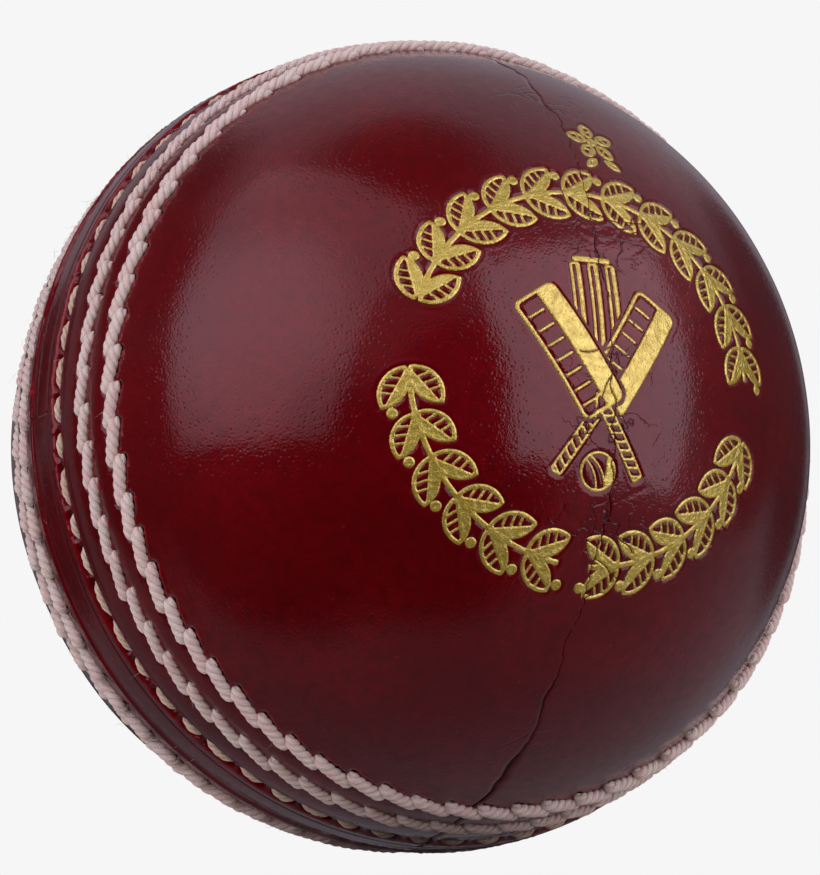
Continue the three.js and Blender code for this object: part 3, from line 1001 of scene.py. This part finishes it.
def thread_material(name, clean, stained):
    """Waxed linen: two tones by patch, a third by stitch, painted shade between the plies, with fine strands.
    """
    shaded = tuple(x * y for x, y in zip(clean, (0.92, 0.86, 0.80)))
    # painted shade colour for the hollows between the plies
    between = (0.26, 0.105, 0.085)
    p = Paint(name)
    core, tone, along, around_ply = (p.attribute(x) for x in ("core", "tone", "along", "around"))
    colour = p.mix(p.fit(p.noise(700, 3, 0.6), 0.42, 0.68, 0.0, 0.75), clean, stained)
    colour = p.mix(p.math("MULTIPLY", tone, 0.35), colour, shaded)
    # painted shade between the plies
    colour = p.mix(p.fit(core, 0.30, 0.95, 0.0, 0.9), colour, between)
    wound = p.math("ADD", p.math("MULTIPLY", around_ply, 34.0), p.math("MULTIPLY", along, 3.0))
    strands = p.math("SINE", wound)
    normal = p.bump(p.math("ADD", p.math("MULTIPLY", strands, 0.35), p.noise(5200, 3, 0.65)), 0.000045)
    return p.set(Base_Color=colour, Roughness=0.78, Normal=normal, Sheen_Weight=0.35, Sheen_Roughness=0.4)


def foil_material():
    """Pressed gilt: bright and dull patches, small worn specks, a wrinkled surface."""
    bright, dull, worn = (1.0, 0.74, 0.14), (0.72, 0.47, 0.035), (0.16, 0.06, 0.015)
    p = Paint("gilt_foil")
    grain, blotch = p.noise(5200, 3, 0.7), p.noise(1300, 3, 0.6)
    colour = p.mix(p.fit(blotch, 0.35, 0.68), bright, dull)
    colour = p.mix(p.fit(grain, 0.60, 0.74, 0.0, 0.7), colour, worn)
    normal = p.bump(p.noise(1500), 0.000120, before=p.bump(grain, 0.000060))
    rough = p.fit(blotch, 0.3, 0.7, 0.24, 0.38)
    return p.set(Base_Color=colour, Metallic=0.8, Roughness=rough, Normal=normal, Coat_Weight=1.0,
                 Coat_Roughness=0.08, Coat_IOR=1.8, Coat_Normal=normal)


def core_material(name, dark, light, scale, bump, rough, cells=None):
    """A dull material of two mixed tones, with lumps where cells is given."""
    p = Paint(name)
    height = grain = p.noise(scale, 4, 0.6)
    colour = p.mix(p.fit(grain, 0.35, 0.65), dark, light)
    if cells:
        lumps = p.cells(cells)
        colour = p.mix(p.fit(lumps, 0.1, 0.7, 0.0, 0.6), colour, dark)
        height = p.math("SUBTRACT", grain, lumps)
    return p.set(Base_Color=colour, Roughness=rough, Normal=p.bump(height, bump))


LEATHER = leather_material()
THREAD = thread_material("seam_thread", (0.67, 0.53, 0.475), (0.64, 0.38, 0.355))
THREAD_INNER = thread_material("seam_thread_stained", (0.64, 0.49, 0.36), (0.58, 0.31, 0.23))
GILT = foil_material()
CORE_TONES = (  # start of the nodes' names, then what core_material takes
    ("cork_slip", "cork", (0.20, 0.10, 0.045), (0.48, 0.29, 0.15), 700, 0.0003, 0.85, 520),
    ("cork_rubber", "cork_rubber", (0.030, 0.022, 0.018), (0.30, 0.17, 0.09), 900, 0.0002, 0.7, 900),
    ("wool_winding", "wool_yarn", (0.52, 0.45, 0.35), (0.74, 0.68, 0.57), 1600, 0.0004, 0.9),
    ("quarter_joint", "joint_thread", (0.55, 0.46, 0.36), (0.74, 0.66, 0.55), 2600, 0.0001, 0.75),
)
CORE_LOOKS = {prefix: core_material(*look) for prefix, *look in CORE_TONES}


# -------- build
def paint(obj, material):
    obj.data.materials.clear()
    obj.data.materials.append(material)


def finish_piece(piece, material, node):
    paint(piece, material)
    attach(piece, "root")
    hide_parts(node)


QUARTERS = (  # node, side, clock of its first edge, axis that its joint lies square to
    ("leather_quarter_front_left", 1, math.pi / 2, 0),
    ("leather_quarter_front_right", 1, -math.pi / 2, 0),
    ("leather_quarter_back_upper", -1, 0.0, 2),
    ("leather_quarter_back_lower", -1, math.pi, 2),
)
for node, side, first_clock, across in QUARTERS:
    finish_piece(quarter("visual_" + node, side, first_clock, across), LEATHER, node)

for seed, row in enumerate(ROWS, start=40):
    piece = thread_row(row, "visual_" + row.name, seed)
    finish_piece(piece, THREAD_INNER if row.inner else THREAD, row.name)

for node, grid in STAMPS.items():
    finish_piece(foil("visual_" + node, grid), GILT, node)

for name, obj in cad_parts.items():
    for prefix, material in CORE_LOOKS.items():
        if name.startswith(prefix):
            paint(obj, material)

# -------- stage and light
# Polish reflects one sky and the surfaces are lit by another, each with a key box and a fill box.
# Each is azimuth and elevation in degrees, half width and half height as tangents, roll, edge, brightness.
KEY_REFLECTED, FILL_REFLECTED = (-71, 32, 0.53, 0.79, -6, 0.02, 0.47), (29, 16, 0.57, 0.59, 0, 0.02, 1.28)
KEY_SHED, FILL_SHED = (-72, 30, 0.64, 0.86, -12, 0.05, 0.82), (28, 14, 0.60, 0.68, 0, 0.05, 1.7)
# dark flags: azimuth, elevation, and the angles where each is full and where it ends
FLAGS = ((-70, -22, 30, 47), (-22, -27, 27, 45), (82, 10, 14, 24), (115, 14, 13, 24), (-122, 34, 6, 20),
         (-13, 8, 12, 22), (-146, 44, 6, 22), (-25, 80, 4, 26), (-114, 0, 15, 28), (-163, 17, 5, 12),
         (-158, -4, 6, 14), (152, 3, 9, 18))
LIGHT, BACKDROP = (0.97, 0.95, 1.08), (0.9216, 0.9216, 0.9216)
FLOOR_HALF, FLOOR_Z = 1.6, -0.0368  # just under the ball


def toward(azimuth, elevation):
    """A direction: azimuth 0 is towards the front, + to the right."""
    a, e = math.radians(azimuth), math.radians(elevation)
    return Vector((math.sin(a) * math.cos(e), -math.cos(a) * math.cos(e), math.sin(e)))


class Studio(Paint):
    """Soft boxes and dark flags on the world, as seen by everything but the camera."""

    def __init__(self):
        self.world = bpy.data.worlds.new("studio")
        self.world.use_nodes = True
        bpy.context.scene.world = self.world
        self.nodes, self.links = self.world.node_tree.nodes, self.world.node_tree.links
        self.way = self.nodes.new("ShaderNodeTexCoord").outputs["Generated"]

    def dot(self, vector):
        node = self.nodes.new("ShaderNodeVectorMath")
        node.operation = "DOT_PRODUCT"
        self.links.new(self.way, node.inputs[0])
        node.inputs[1].default_value = vector
        return node.outputs["Value"]

    def lobe(self, azimuth, elevation, inner, outer):
        """1 within inner degrees of a direction, 0 beyond outer."""
        node = self.nodes.new("ShaderNodeMapRange")
        node.interpolation_type = "SMOOTHERSTEP"
        node.inputs["From Min"].default_value = math.cos(math.radians(outer))
        node.inputs["From Max"].default_value = math.cos(math.radians(inner))
        self.links.new(self.dot(toward(azimuth, elevation)), node.inputs["Value"])
        return node.outputs["Result"]

    def soft_box(self, azimuth, elevation, half_width, half_height, roll, edge, bright):
        """A rectangle with soft edges."""
        middle = toward(azimuth, elevation)
        up = (Vector((0, 0, 1)) - middle * middle.z).normalized()
        right = up.cross(middle)
        c, s = math.cos(math.radians(roll)), math.sin(math.radians(roll))
        right, up = right * c + up * s, up * c - right * s
        depth = self.math("MAXIMUM", self.dot(middle), 0.001)
        sides = []
        for axis, half in ((right, half_width), (up, half_height)):
            away = self.math("ABSOLUTE", self.math("DIVIDE", self.dot(axis), depth))
            sides.append(self.fit(away, half - edge, half + edge, 1.0, 0.0))
        return self.math("MULTIPLY", self.math("MULTIPLY", *sides), bright)

    def sky(self, level, key, hot_spot, hotter, fill):
        """Room light with a key box that is hotter round one direction, and a fill box."""
        key = self.math("MULTIPLY", self.soft_box(*key),
                        self.math("ADD", 1.0, self.math("MULTIPLY", self.lobe(*hot_spot), hotter)))
        return self.math("ADD", level, self.math("ADD", key, self.soft_box(*fill)))

    def reflected(self):
        """The sky that polish reflects: two soft boxes, dark flags between them, and dim room light."""
        level = self.math("ADD", 0.14, self.math("MULTIPLY", self.lobe(165, 60, 8, 62), 0.17))
        level = self.math("ADD", level, self.math("MULTIPLY", self.lobe(130, -30, 10, 60), 0.05))
        for flag in FLAGS:
            level = self.math("MULTIPLY", level, self.math("SUBTRACT", 1.0, self.lobe(*flag)))
        return self.sky(level, KEY_REFLECTED, (-76, 23, 3, 38), 1.45, FILL_REFLECTED)

    def shed(self):
        """The sky that lights the surfaces themselves, softer and fuller."""
        level = self.math("ADD", 0.19, self.math("MULTIPLY", self.lobe(122, 20, 18, 66), 0.95))
        return self.sky(level, KEY_SHED, (-80, 16, 8, 56), 1.6, FILL_SHED)

    def light(self):
        path = self.nodes.new("ShaderNodeLightPath")
        gloss = path.outputs["Is Glossy Ray"]
        level = self.math("ADD", self.math("MULTIPLY", gloss, self.reflected()),
                          self.math("MULTIPLY", self.math("SUBTRACT", 1.0, gloss), self.shed()))
        seen, lit = self.nodes["Background"], self.nodes.new("ShaderNodeBackground")
        mix = self.nodes.new("ShaderNodeMixShader")
        for socket, value in ((seen.inputs["Color"], BACKDROP), (lit.inputs["Color"], LIGHT),
                              (lit.inputs["Strength"], level), (mix.inputs[0], path.outputs["Is Camera Ray"]),
                              (mix.inputs[1], lit.outputs[0]), (mix.inputs[2], seen.outputs[0]),
                              (self.nodes["World Output"].inputs["Surface"], mix.outputs[0])):
            self.feed(socket, value)


def floor_material():
    """Pale paper that is clear from below, because the camera looks from slightly under it."""
    p = Paint("pale_floor")
    colour = p.mix(p.fit(p.noise(260, 3), 0.3, 0.7), (0.820, 0.835, 0.745), (0.835, 0.850, 0.758))
    p.set(Base_Color=colour, Roughness=0.6)
    clear, facing, mix = (p.nodes.new(x) for x in ("ShaderNodeBsdfTransparent", "ShaderNodeNewGeometry",
                                                   "ShaderNodeMixShader"))
    from_above, from_below = p.shader.outputs[0], clear.outputs[0]
    for socket, value in zip(mix.inputs, (facing.outputs["Backfacing"], from_above, from_below)):
        p.feed(socket, value)
    p.feed(p.nodes["Material Output"].inputs["Surface"], mix.outputs[0])
    return p.material


def floor():
    mesh = bpy.data.meshes.new("floor")
    corners = [(x * FLOOR_HALF, y * FLOOR_HALF, FLOOR_Z) for x, y in ((-1, -1), (1, -1), (1, 1), (-1, 1))]
    mesh.from_pydata(corners, [], [(0, 1, 2, 3)])
    obj = bpy.data.objects.new("floor", mesh)
    bpy.context.scene.collection.objects.link(obj)
    mesh.materials.append(floor_material())
    obj.visible_glossy = False


Studio().light()
floor()
bpy.context.scene.view_settings.view_transform = "Standard"
